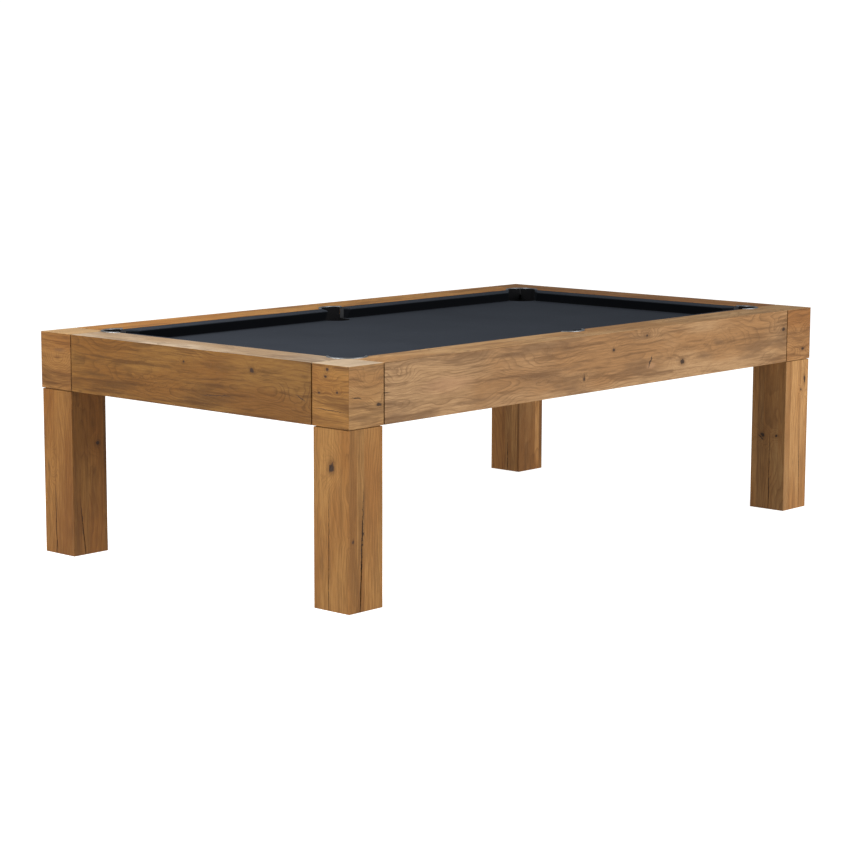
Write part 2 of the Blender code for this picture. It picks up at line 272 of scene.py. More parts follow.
# Material building: a tree with short names for the nodes that the finishes use.
class Tree:
    def __init__(self, name):
        self.material = bpy.data.materials.new(name)
        self.material.use_nodes = True
        self.nodes = self.material.node_tree.nodes
        self.links = self.material.node_tree.links
        self.shader = self.nodes["Principled BSDF"]
        self.place = self.nodes.new("ShaderNodeTexCoord").outputs["Object"]

    def feed(self, socket, value):
        if isinstance(value, bpy.types.NodeSocket):
            self.links.new(value, socket)
        elif isinstance(value, (tuple, list)) and len(value) == 3 and socket.type == "RGBA":
            socket.default_value = (*value, 1.0)
        else:
            socket.default_value = value

    def maths(self, operation, first, second=0.0):
        node = self.nodes.new("ShaderNodeMath")
        node.operation = operation
        self.feed(node.inputs[0], first)
        self.feed(node.inputs[1], second)
        return node.outputs[0]

    def times(self, first, second):
        return self.maths("MULTIPLY", first, second)

    def plus(self, first, second):
        return self.maths("ADD", first, second)

    def minus(self, first, second):
        return self.maths("SUBTRACT", first, second)

    def vector(self, operation, first, second=(0, 0, 0)):
        node = self.nodes.new("ShaderNodeVectorMath")
        node.operation = operation
        self.feed(node.inputs[0], first)
        if operation == "SCALE":
            self.feed(node.inputs["Scale"], second)
        else:
            self.feed(node.inputs[1], second)
        return node.outputs["Value" if operation in ("LENGTH", "DOT_PRODUCT") else "Vector"]

    def stretch(self, value, factors):
        return self.vector("MULTIPLY", value, factors)

    def moved(self, value, shift):
        return self.vector("ADD", value, shift)

    def split(self, value):
        node = self.nodes.new("ShaderNodeSeparateXYZ")
        self.feed(node.inputs[0], value)
        return node.outputs

    def join(self, x, y, z):
        node = self.nodes.new("ShaderNodeCombineXYZ")
        for socket, value in zip(node.inputs, (x, y, z)):
            self.feed(socket, value)
        return node.outputs[0]

    def cloud(self, place, scale=1.0, detail=2.0, rough=0.5, output="Fac"):
        node = self.nodes.new("ShaderNodeTexNoise")
        self.feed(node.inputs["Vector"], place)
        node.inputs["Scale"].default_value = scale
        node.inputs["Detail"].default_value = detail
        node.inputs["Roughness"].default_value = rough
        return node.outputs[output]

    def remap(self, value, low, high, newLow=0.0, newHigh=1.0, smooth=False):
        node = self.nodes.new("ShaderNodeMapRange")
        node.interpolation_type = "SMOOTHSTEP" if smooth else "LINEAR"
        self.feed(node.inputs["Value"], value)
        for key, number in zip(
            ("From Min", "From Max", "To Min", "To Max"), (low, high, newLow, newHigh)
        ):
            self.feed(node.inputs[key], number)
        return node.outputs["Result"]

    def mix(self, share, first, second):
        node = self.nodes.new("ShaderNodeMix")
        node.data_type = "RGBA"
        self.feed(node.inputs["Factor"], share)
        self.feed(node.inputs[6], first)
        self.feed(node.inputs[7], second)
        return node.outputs[2]

    def bump(self, height, distance, strength=1.0):
        node = self.nodes.new("ShaderNodeBump")
        node.inputs["Strength"].default_value = strength
        node.inputs["Distance"].default_value = distance
        self.feed(node.inputs["Height"], height)
        return node.outputs["Normal"]

    # Feeds one of the shader's own sockets.
    def give(self, key, value):
        self.feed(self.shader.inputs[key], value)

    # Mixes a tone in where a pattern runs between low and high.
    def stain(self, colour, tone, pattern, low, high, share, smooth=False):
        return self.mix(self.remap(pattern, low, high, 0.0, share, smooth), colour, tone)


def scaled(tone, gain):
    return tuple(channel * gain for channel in tone)


grainAxes = {"X": (0, 1, 2), "Y": (1, 2, 0), "Z": (2, 0, 1)}


def pocketCentre(name):
    low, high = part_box("pocket_bucket_" + name)
    return (low + high) / 2


# How far a spot is from a pocket's upright axis.
def pocketReach(t, name):
    centre = pocketCentre(name)
    flat = t.stretch(t.place, (1.0, 1.0, 0.0))
    return t.vector("LENGTH", t.vector("SUBTRACT", flat, (centre.x, centre.y, 0.0)))


# Oak. Growth rings are cylinders about a heart line that leans through the piece, swollen
# and pinched so that they show as arches and loops. Knots push the rings out round them.
oakLook = {
    "ringWidth": 0.0095,
    "ringContrast": 0.95,
    "poreLength": 0.012,
    "poreWidth": 0.0007,
    "roughness": 0.58,
    "sheen": 0.22,
    "bumpDepth": 0.0005,
    "markDepth": 0.045,
    "swell": 0.15,
    "ripple": 0.014,
    "unevenness": 2.4,
    "knotPush": 0.024,
    "swirlPush": 0.055,
    "smokeShare": 0.70,
    "streakShare": 0.74,
    "fibreShare": 0.46,
    "poreShare": 0.35,
    "seamShare": 0.35,
    "boreRadius": 0.0594,
}
markWander = {"crack": 5.0, "smoke": 0.9, "pale": 0.8, "swirl": 0.3, "knot": 2.0}
axisOf = {"X": Vector((1, 0, 0)), "Y": Vector((0, 1, 0)), "Z": Vector((0, 0, 1))}


# Marks are listed by face: kind, place along the face, height, length, width and turn.
def marksOn(faces):
    marks = []
    for (axis, level), spots in faces.items():
        for kind, along, height, *shape in spots:
            centre = (level, along, height) if axis == "X" else (along, level, height)
            marks.append((kind, axis, centre, *shape))
    return marks


# A long soft-edged spot on one face: a knot, a crack, a smoky patch or a pale one.
def markShare(t, ragged, grain, mark):
    kind, face, centre, length, width, turnBy = mark
    if grain == "box":
        along = axisOf["Y" if face == "X" else "X"]
    else:
        along = axisOf[grain]
    outward = axisOf[face]
    sideways = outward.cross(along)
    angle = math.radians(turnBy)
    first = along * math.cos(angle) + sideways * math.sin(angle)
    second = sideways * math.cos(angle) - along * math.sin(angle)
    if kind in ("knot", "crack"):
        length, width = length * 1.25, width * 1.5
    offset = t.vector("SUBTRACT", t.place, centre)
    wander = markWander[kind] * width
    u = t.vector("DOT_PRODUCT", offset, first / length)
    v = t.vector("DOT_PRODUCT", offset, second / width)
    v = t.plus(v, t.times(ragged, wander / width))
    w = t.vector("DOT_PRODUCT", offset, outward / oakLook["markDepth"])
    return t.vector("LENGTH", t.join(u, v, w))


def oak(name, grain, tone, seed, heart, lean=(0.03, 0.05), marks=(), staves=None, calm=1.0,
        sheenTopTone=None, bores=()):
    t = Tree(name)
    axes = t.split(t.place)
    if grain == "box":
        roundSides = t.join(
            t.plus(axes[0], axes[1]),
            axes[2],
            t.times(t.minus(axes[0], axes[1]), 0.02),
        )
        flat = t.join(axes[0], axes[1], 0.0)
        onTop = t.remap(axes[2], tableTop - 0.0009, tableTop - 0.0007)
        place = t.mix(onTop, roundSides, flat)
        atEnd = t.remap(t.maths("ABSOLUTE", axes[0]), halfLength - 0.0012, halfLength - 0.0009)
        place = t.moved(place, t.vector("SCALE", t.join(0.7, 0.013, 0.02), atEnd))
    else:
        place = t.join(*(axes[index] for index in grainAxes[grain]))
    seeded = t.moved(place, (seed * 1.37, seed * 0.71, seed * 2.13))
    ragged = t.minus(t.cloud(t.place, 55.0, 4.0, 0.6), 0.5)

    # Staves: strips glued side by side, each with its own shift and shade.
    shifted = seeded
    if staves:
        width, start = staves
        across = t.split(place)
        numbers = []
        edges = []
        for index in (1, 2):
            sway = t.maths("SINE", t.times(across[index], 2.3 / width))
            sway = t.times(sway, 0.3 * width)
            spot = t.plus(t.plus(across[index], sway), start)
            spot = t.maths("DIVIDE", spot, width)
            numbers.append(t.maths("FLOOR", spot))
            edges.append(t.maths("ABSOLUTE", t.minus(t.maths("FRACT", spot), 0.5)))
        picked = t.nodes.new("ShaderNodeTexWhiteNoise")
        picked.noise_dimensions = "3D"
        t.feed(picked.inputs["Vector"], t.join(numbers[0], numbers[1], float(seed)))
        shift = t.stretch(picked.outputs["Color"], (1.0, 0.12, 0.12))
        shifted = t.moved(seeded, shift)
        seam = t.remap(t.maths("MAXIMUM", edges[0], edges[1]), 0.488, 0.5, 0.0, 1.0)

    # Rings.
    swell = t.cloud(t.stretch(shifted, (2.4, 6.0, 6.0)), 1.0, 2.0, 0.45)
    ripple = t.cloud(t.stretch(shifted, (8.0, 22.0, 22.0)), 1.0, 2.0, 0.5)
    fromHeart = t.split(place)
    leanAcross = t.times(fromHeart[0], lean[0])
    leanDeep = t.times(fromHeart[0], lean[1])
    away = t.join(
        0.0,
        t.minus(fromHeart[1], t.plus(leanAcross, heart[0])),
        t.minus(fromHeart[2], t.plus(leanDeep, heart[1])),
    )
    radius = t.vector("LENGTH", away)
    radius = t.plus(radius, t.times(swell, oakLook["swell"] * calm))
    radius = t.plus(radius, t.times(ripple, oakLook["ripple"]))
    shares = {"knot": [], "crack": [], "smoke": [], "pale": [], "swirl": []}
    for mark in marks:
        far = markShare(t, ragged, grain, mark)
        shares[mark[0]].append(far)
        if mark[0] == "knot":
            push = oakLook["knotPush"] + mark[4] * 2.0
            radius = t.plus(radius, t.remap(far, 0.0, 5.5, push, 0.0, True))
        if mark[0] == "swirl":
            push = oakLook["swirlPush"]
            radius = t.plus(radius, t.remap(far, 0.0, 1.6, push, 0.0, True))
    rings = t.maths("DIVIDE", radius, oakLook["ringWidth"])
    uneven = t.cloud(t.join(t.times(radius, 34.0), float(seed), 0.0), 1.0, 2.0)
    rings = t.plus(rings, t.times(uneven, oakLook["unevenness"]))
    phase = t.maths("FRACT", rings)
    ringEnd = t.remap(phase, 0.90, 1.0, 1.0, 0.0, True)
    ringLine = t.times(t.maths("POWER", phase, 4.0), ringEnd)
    ringPlace = t.stretch(shifted, (1.6, 8.0, 8.0))
    ringStrength = t.remap(t.cloud(ringPlace, 1.0, 3.0), 0.36, 0.58, 0.20, 1.0)
    ringLine = t.times(ringLine, ringStrength)

    # Fibres, pores and smoky streaks, all drawn out along the grain.
    fibre = t.cloud(t.stretch(shifted, (14.0, 190.0, 190.0)), 1.0, 4.0, 0.65)
    bent = t.moved(shifted, t.vector("SCALE", t.join(0.0, radius, radius), 0.22))
    streak = t.cloud(t.stretch(bent, (2.6, 62.0, 62.0)), 1.0, 4.0, 0.62)
    smoke = t.cloud(t.stretch(bent, (3.2, 17.0, 17.0)), 1.0, 4.0, 0.6)
    poreScale = (1 / oakLook["poreLength"], 1 / oakLook["poreWidth"], 1 / oakLook["poreWidth"])
    pore = t.cloud(t.stretch(shifted, poreScale), 1.0, 1.0)
    pore = t.remap(pore, 0.60, 0.70, 0.0, 1.0, True)
    patch = t.cloud(t.stretch(shifted, (2.0, 7.0, 7.0)), 1.0, 3.0, 0.5)

    pale = (tone[0] * 1.34, tone[1] * 1.38, tone[2] * 1.48)
    deepTone = (tone[0] * 0.40, tone[1] * 0.33, tone[2] * 0.27)
    smokeTone = (tone[0] * 0.50, tone[1] * 0.46, tone[2] * 0.46)
    red = (tone[0] * 0.98, tone[1] * 0.83, tone[2] * 0.66)
    paleSpot = (tone[0] * 1.25, tone[1] * 1.20, tone[2] * 1.35)
    colour = t.mix(t.remap(patch, 0.38, 0.62, 0.0, 1.0, True), red, pale)
    colour = t.mix(0.25, colour, tone)
    smokeShare = t.remap(smoke, 0.50, 0.68, 0.0, oakLook["smokeShare"] * calm, True)
    colour = t.mix(smokeShare, colour, smokeTone)
    ringShare = t.times(ringLine, oakLook["ringContrast"] * (0.4 + 0.6 * calm))
    colour = t.mix(ringShare, colour, deepTone)
    streakShare = t.remap(streak, 0.50, 0.68, 0.0, oakLook["streakShare"] * calm, True)
    colour = t.mix(streakShare, colour, deepTone)
    colour = t.stain(colour, deepTone, fibre, 0.38, 0.70, oakLook["fibreShare"])
    colour = t.mix(t.times(pore, oakLook["poreShare"]), colour, smokeTone)
    if staves:
        shade = t.remap(picked.outputs["Value"], 0.0, 1.0, 0.76, 1.20)
        colour = t.vector("SCALE", colour, shade)
        colour = t.mix(t.times(seam, oakLook["seamShare"]), colour, deepTone)
    if sheenTopTone:
        # Painted shade and sheen: a block's end-grain face is darkened, standing in for the shade
        # on that side, and its top is made paler, standing in for the sheen the top catches.
        colour = t.mix(atEnd, colour, t.stretch(colour, (0.78, 0.67, 0.42)))
        gain = tuple(top / side for top, side in zip(sheenTopTone, tone))
        sheenedTop = t.mix(0.45, t.stretch(colour, gain), sheenTopTone)
        colour = t.mix(onTop, colour, sheenedTop)
    dark = (0.030, 0.015, 0.008)
    for far in shares["smoke"]:
        colour = t.mix(t.remap(far, 0.0, 1.0, 0.62, 0.0, True), colour, smokeTone)
    for far in shares["pale"]:
        colour = t.mix(t.remap(far, 0.2, 1.0, 0.55, 0.0, True), colour, paleSpot)
    for far in shares["knot"]:
        colour = t.mix(t.remap(far, 0.7, 2.3, 0.50, 0.0, True), colour, deepTone)
        colour = t.mix(t.remap(far, 0.55, 1.0, 0.95, 0.0, True), colour, dark)
    for far in shares["crack"]:
        colour = t.mix(t.remap(far, 0.55, 1.0, 0.92, 0.0, True), colour, dark)
    # The pocket bores are painted black.
    for pocketName in bores:
        edge = oakLook["boreRadius"]
        painted = t.remap(pocketReach(t, pocketName), edge, edge + 0.0006, 1.0, 0.0)
        colour = t.mix(painted, colour, (0.006, 0.006, 0.007))
    t.give("Base Color", colour)
    rough = t.remap(fibre, 0.2, 0.8, oakLook["roughness"] - 0.07, oakLook["roughness"] + 0.10)
    t.give("Roughness", rough)
    t.shader.inputs["Specular IOR Level"].default_value = oakLook["sheen"]
    height = t.minus(t.times(fibre, 0.35), t.times(pore, 0.5))
    height = t.minus(height, t.times(ringLine, 0.25))
    for far in shares["knot"] + shares["crack"]:
        height = t.minus(height, t.remap(far, 0.5, 1.0, 1.4, 0.0, True))
    t.give("Normal", t.bump(height, oakLook["bumpDepth"], 0.7))
    return t.material


# Worsted cloth: a close, smooth weave with a slight nap.
clothLook = {"thread": 0.00045, "nap": 900.0, "sheen": 0.012, "bumpDepth": 0.00012}


def clothFinish(name, tone, noseHeight=None):
    t = Tree(name)
    parts = t.split(t.place)
    pitch = 2 * math.pi / clothLook["thread"]
    warp = t.maths("SINE", t.times(parts[0], pitch))
    weft = t.maths("SINE", t.times(parts[1], pitch))
    weave = t.times(warp, weft)
    nap = t.cloud(t.place, clothLook["nap"], 2.0, 0.6)
    mottle = t.cloud(t.place, 3.0, 3.0, 0.5)
    chalk = t.cloud(t.place, 26.0, 4.0, 0.6)
    mottled = t.remap(mottle, 0.3, 0.7, 0.0, 1.0)
    colour = t.mix(mottled, scaled(tone, 0.90), scaled(tone, 1.10))
    colour = t.stain(colour, scaled(tone, 1.7), nap, 0.3, 0.75, 0.35)
    colour = t.stain(colour, scaled(tone, 0.55), weave, -1.0, 1.0, 0.22)
    colour = t.stain(colour, (0.10, 0.12, 0.15), chalk, 0.62, 0.80, 0.10)
    if noseHeight:
        # Painted shade: below the nose the cloth is darkened to about a sixth, standing in for
        # the shadow under the cushion's overhang.
        undercutShade = t.remap(parts[2], noseHeight - 0.003, noseHeight + 0.004, 0.16, 1.0, True)
        colour = t.vector("SCALE", colour, undercutShade)
    t.give("Base Color", colour)
    t.give("Roughness", t.remap(nap, 0.2, 0.8, 0.88, 0.98))
    t.shader.inputs["Specular IOR Level"].default_value = 0.015
    t.shader.inputs["Sheen Weight"].default_value = clothLook["sheen"]
    t.shader.inputs["Sheen Roughness"].default_value = 0.45
    t.shader.inputs["Sheen Tint"].default_value = (0.62, 0.70, 0.82, 1.0)
    height = t.plus(t.times(weave, 0.4), nap)
    t.give("Normal", t.bump(height, clothLook["bumpDepth"], 0.5))
    return t.material


def satinMetal(name, tone, grainScale=(1.0, 1.0, 1.0), roughness=0.28):
    t = Tree(name)
    brushed = t.cloud(t.stretch(t.place, grainScale), 900.0, 3.0, 0.6)
    smear = t.cloud(t.place, 22.0, 3.0, 0.55)
    scratch = t.cloud(t.stretch(t.place, (900.0, 60.0, 60.0)), 1.0, 1.0)
    colour = t.mix(t.remap(smear, 0.3, 0.7, 0.0, 1.0), tone, scaled(tone, 0.86))
    colour = t.stain(colour, scaled(tone, 0.6), scratch, 0.70, 0.78, 0.3)
    t.give("Base Color", colour)
    t.shader.inputs["Metallic"].default_value = 1.0
    rough = t.remap(brushed, 0.2, 0.8, roughness - 0.07, roughness + 0.10)
    t.give("Roughness", rough)
    t.give("Normal", t.bump(brushed, 0.00004, 0.4))
    return t.material


def mouldedBlack(name, tone, roughness, shine):
    t = Tree(name)
    pebble = t.nodes.new("ShaderNodeTexVoronoi")
    t.feed(pebble.inputs["Vector"], t.place)
    pebble.inputs["Scale"].default_value = 750.0
    dust = t.cloud(t.place, 30.0, 4.0, 0.6)
    scuff = t.cloud(t.stretch(t.place, (90.0, 90.0, 14.0)), 1.0, 3.0, 0.6)
    colour = t.mix(t.remap(dust, 0.35, 0.75, 0.0, 0.5), tone, scaled(tone, 2.1))
    colour = t.stain(colour, scaled(tone, 3.5), scuff, 0.62, 0.74, 0.5)
    t.give("Base Color", colour)
    rough = t.remap(dust, 0.2, 0.8, roughness - 0.08, roughness + 0.14)
    t.give("Roughness", rough)
    t.shader.inputs["Specular IOR Level"].default_value = shine
    t.give("Normal", t.bump(pebble.outputs["Distance"], 0.00015, 0.5))
    return t.material


def groundSlate(name):
    t = Tree(name)
    layers = t.cloud(t.stretch(t.place, (2.0, 2.0, 160.0)), 1.0, 4.0, 0.6)
    cloudy = t.cloud(t.place, 5.0, 4.0, 0.6)
    speck = t.cloud(t.place, 420.0, 2.0, 0.6)
    deep, light = (0.060, 0.064, 0.070), (0.105, 0.108, 0.112)
    colour = t.mix(t.remap(cloudy, 0.3, 0.7, 0.0, 1.0), deep, light)
    colour = t.stain(colour, (0.035, 0.038, 0.043), layers, 0.5, 0.75, 0.6)
    colour = t.stain(colour, (0.22, 0.22, 0.22), speck, 0.62, 0.74, 0.5)
    t.give("Base Color", colour)
    t.give("Roughness", t.remap(speck, 0.2, 0.8, 0.62, 0.82))
    t.give("Normal", t.bump(t.plus(speck, layers), 0.0003, 0.5))
    return t.material


def sawnPine(name, grain, seed=0.0):
    t = Tree(name)
    axes = t.split(t.place)
    place = t.join(*(axes[index] for index in grainAxes[grain]))
    seeded = t.moved(place, (seed, seed * 0.7, seed * 1.9))
    bend = t.cloud(t.stretch(seeded, (1.4, 4.0, 4.0)), 1.0, 2.0, 0.5, "Color")
    bend = t.vector("SUBTRACT", bend, (0.5, 0.5, 0.5))
    wandering = t.moved(seeded, t.stretch(bend, (0.0, 0.06, 0.06)))
    radius = t.vector("LENGTH", t.stretch(wandering, (0.06, 1.0, 1.0)))
    phase = t.maths("FRACT", t.maths("DIVIDE", radius, 0.006))
    fibre = t.cloud(t.stretch(seeded, (12.0, 420.0, 420.0)), 1.0, 3.0, 0.6)
    saw = t.maths("SINE", t.times(t.split(seeded)[0], 2 * math.pi / 0.0035))
    colour = t.mix(t.maths("POWER", phase, 3.0), (0.56, 0.385, 0.21), (0.40, 0.22, 0.10))
    colour = t.stain(colour, (0.34, 0.20, 0.10), fibre, 0.4, 0.75, 0.4)
    aboveSlate = t.remap(axes[2], bedTop - 0.003, bedTop - 0.002)
    for pocketName in pocketNames:
        near = t.remap(pocketReach(t, pocketName), 0.150, 0.156, 1.0, 0.0)
        painted = t.times(near, aboveSlate)
        colour = t.mix(painted, colour, (0.010, 0.011, 0.013))
    t.give("Base Color", colour)
    t.give("Roughness", t.remap(fibre, 0.2, 0.8, 0.62, 0.82))
    height = t.plus(t.times(saw, 0.12), fibre)
    t.give("Normal", t.bump(height, 0.0004, 0.6))
    return t.material


# Tones in linear colour, one per piece. Part of their spread is painted light: the paler near
# rail caps (head and right) stand in for the sheen their tops catch, the darker head apron for
# the shade on that end, and the legs' tones are raised and lowered for the light each gets; the
# rest is the wood's own variation.
tones = {
    "leg_head_right": (0.275, 0.132, 0.034),
    "leg_head_left": (0.190, 0.084, 0.019),
    "leg_foot_right": (0.315, 0.164, 0.056),
    "leg_foot_left": (0.345, 0.168, 0.052),
    "corner_head_right": (0.310, 0.168, 0.060),
    "corner_head_left": (0.262, 0.140, 0.058),
    "corner_foot_right": (0.270, 0.130, 0.042),
    "corner_foot_left": (0.270, 0.130, 0.042),
    "apron_right": (0.300, 0.172, 0.075),
    "apron_left": (0.290, 0.160, 0.065),
    "apron_head": (0.168, 0.078, 0.016),
    "apron_foot": (0.240, 0.110, 0.036),
    "rail_right": (0.410, 0.240, 0.102),
    "rail_head": (0.372, 0.275, 0.178),
    "rail_left": (0.420, 0.200, 0.050),
    "rail_foot": (0.300, 0.140, 0.040),
    "cloth": (0.029, 0.033, 0.041),
}


# Legs: square posts glued up from staves, with a raised neck that leaves the shadow gap.
leg = {
    "ease": 0.0011,
    "neckInset": 0.006,
    "neckHeight": 0.0027,
    "recessRadius": 0.034,
    "recessDepth": 0.023,
    "screwHoleRadius": 0.0065,
    "screwHoleTop": 0.122,
    "staveWidth": 0.047,
}


# A long thin wedge that leaves a drying check in a face. It is widest low down, wanders a
# little and dies away at its top.
def makeCheckCutter(facing, start, stop, width, depth, seed):
    outward = Vector(facing)
    sideways = Vector((-outward.y, outward.x, 0))
    piece = addBox("check", (-0.5, -0.5, 0), (0.5, 0.5, 1))
    onEdges(piece, lambda a, b: abs(a.co.z - b.co.z) > 0.5,
            lambda: bpy.ops.mesh.subdivide(number_cuts=32))
    start, stop = Vector(start), Vector(stop)
    for vertex in piece.data.vertices:
        x, y, share = vertex.co
        swell = math.sin(math.pi * (0.06 + 0.94 * share) ** 0.55) * 0.9 + 0.12
        ragged = 1.0 + 0.6 * noise.noise(Vector((share * 23.0, seed * 3.1, 0.0)))
        wander = 0.005 * noise.noise(Vector((share * 2.4, seed * 7.7, 1.0)))
        wander += 0.0012 * noise.noise(Vector((share * 17.0, seed * 5.3, 2.0)))
        half = width * swell * ragged * (0.7 if y > 0 else 0.06)
        out = depth * (0.3 if y > 0 else -swell)
        place = start.lerp(stop, share)
        vertex.co = place + sideways * ((half if x > 0 else -half) + wander) + outward * out
    evenOut(piece)
    return piece


# Face, place along the face at the foot and at the top, height of the top, width, depth.
legChecks = {
    "head_right": [
        ((-1, 0), -0.668, -0.672, 0.43, 0.0018, 0.010),
        ((0, -1), -1.267, -1.250, 0.40, 0.0042, 0.015),
        ((1, 0), -0.700, -0.695, 0.22, 0.0020, 0.009),
    ],
    "head_left": [
        ((-1, 0), 0.697, 0.699, 0.25, 0.0022, 0.011),
        ((0, -1), -1.266, -1.285, 0.205, 0.0028, 0.012),
        ((0, 1), -1.235, -1.228, 0.27, 0.0022, 0.010),
    ],
    "foot_right": [
        ((-1, 0), -0.690, -0.688, 0.315, 0.0020, 0.010),
        ((0, -1), 1.270, 1.262, 0.36, 0.0018, 0.009),
        ((1, 0), -0.670, -0.664, 0.30, 0.0026, 0.012),
    ],
    "foot_left": [
        ((-1, 0), 0.668, 0.664, 0.18, 0.0018, 0.009),
        ((1, 0), 0.695, 0.701, 0.33, 0.0026, 0.012),
        ((0, 1), 1.232, 1.238, 0.24, 0.0022, 0.010),
    ],
}
legMarks = {
    "head_right": {
        ("X", -1.318): [
            ("knot", -0.682, 0.468, 0.014, 0.008, 18),
            ("crack", -0.680, 0.470, 0.022, 0.0018, 25),
            ("smoke", -0.684, 0.478, 0.060, 0.022, 0),
            ("smoke", -0.640, 0.150, 0.090, 0.014, 0),
        ],
        ("Y", -0.760): [
            ("smoke", -1.245, 0.360, 0.110, 0.012, 3),
            ("crack", -1.254, 0.270, 0.020, 0.0030, -6),
            ("knot", -1.300, 0.235, 0.006, 0.003, 0),
        ],
    },
    "head_left": {
        ("X", -1.318): [
            ("smoke", 0.735, 0.311, 0.050, 0.010, -12),
            ("swirl", 0.720, 0.330, 0.060, 0.025, 0),
        ],
        ("Y", 0.6025): [
            ("knot", -1.201, 0.399, 0.007, 0.006, 0),
            ("smoke", -1.216, 0.302, 0.030, 0.009, 10),
            ("smoke", -1.223, 0.475, 0.035, 0.010, 0),
        ],
    },
    "foot_right": {
        ("X", 1.161): [
            ("knot", -0.655, 0.296, 0.010, 0.006, -50),
            ("crack", -0.647, 0.286, 0.016, 0.0025, -55),
            ("knot", -0.720, 0.298, 0.005, 0.004, 0),
        ],
        ("Y", -0.7595): [
            ("knot", 1.292, 0.516, 0.014, 0.004, 0),
            ("knot", 1.269, 0.477, 0.004, 0.003, 0),
            ("smoke", 1.221, 0.187, 0.024, 0.006, 8),
        ],
    },
    "foot_left": {
        ("X", 1.161): [
            ("crack", 0.672, 0.420, 0.016, 0.0030, 35),
            ("smoke", 0.672, 0.420, 0.040, 0.015, 20),
        ],
    },
}


def makeLeg(end, side, corner):
    low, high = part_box("leg_" + corner)
    shoulder = high.z - leg["neckHeight"]
    piece = addBox("oak_leg_" + corner, low, (high.x, high.y, shoulder))
    middle = (low + high) / 2

    def raiseNeck():
        bpy.ops.mesh.inset(thickness=leg["neckInset"])
        bpy.ops.mesh.extrude_region_move(
            TRANSFORM_OT_translate={"value": (0, 0, leg["neckHeight"])}
        )
    onFaces(piece, lambda face: face.normal.z > 0.5, raiseNeck)
    for radius, top, vertices in (("recessRadius", "recessDepth", 64),
                                  ("screwHoleRadius", "screwHoleTop", 32)):
        cutWith(piece, addCylinder("hole", middle, leg[radius], -0.01, leg[top], vertices))
    easeEdges(piece, leg["ease"], 2, 50)
    marks = marksOn(legMarks[corner])
    for number, (facing, foot, top, height, width, depth) in enumerate(legChecks[corner]):
        if facing[0]:
            x = high.x if facing[0] > 0 else low.x
            start, stop = (x, foot, -0.01), (x, top, height)
        else:
            y = high.y if facing[1] > 0 else low.y
            start, stop = (foot, y, -0.01), (top, y, height)
        seed = number + 3 * (end + 1) + 7 * (side + 1)
        tilt = math.degrees(math.atan2(top - foot, height)) * (-1 if facing[0] else 1)
        centre = tuple((Vector(start) + Vector(stop)) / 2)
        marks.append(("crack", "X" if facing[0] else "Y", centre, height / 2, width * 0.55, tilt))
        cutWith(piece, makeCheckCutter((*facing, 0), start, stop, width, depth, seed))
    smoothBelow(piece, 28)
    evenNormals(piece)
    heart = (middle.x + 0.05 * end, middle.y + 0.09 * side)
    finish = oak("oak_leg_" + corner, "Z", tones["leg_" + corner], 3.0 + 2 * end + side,
                 heart, (0.02, 0.035), marks, (leg["staveWidth"], 0.011), 0.55)
    finishPiece(piece, "table", "leg_oak", finish, "leg_" + corner)


for end, side, corner in corners:
    makeLeg(end, side, corner)
print("legs made")


# Pocket sizes, and the round holes that the woodwork and the cloth are cut to.
pocket = {
    "bore": 0.0583,
    "linerRadius": 0.0545,
    "linerOuter": 0.0575,
    "rimInner": 0.058,
    "rimOuter": 0.068,
    "rebate": 0.0686,
    "rimDepth": 0.0028,
}


def cutPocket(piece, name):
    centre = pocketCentre(name)
    cutWith(piece, addCylinder("bore", centre, pocket["bore"], tableTop - 0.2, tableTop + 0.1))
    floor = tableTop - pocket["rimDepth"]
    cutWith(piece, addCylinder("rebate", centre, pocket["rebate"], floor, tableTop + 0.1))


# Rails and aprons: boards that meet along the outer top edge in a mitre.
board = {"ease": 0.0009, "arris": 0.0007}


def mitreOff(piece, outward, keepTop):
    edge = Vector((outward[0] * halfLength, outward[1] * halfWidth, tableTop))
    away = Vector((*outward, -1))
    sawAlong(piece, edge, (away if keepTop else -away).normalized())


def softenArris(piece, outward):
    out = Vector((outward[0], outward[1], 0))
    edge = Vector((outward[0] * halfLength, outward[1] * halfWidth, tableTop))
    sawAlong(piece, edge - out * board["arris"], (out + Vector((0, 0, 1))).normalized())


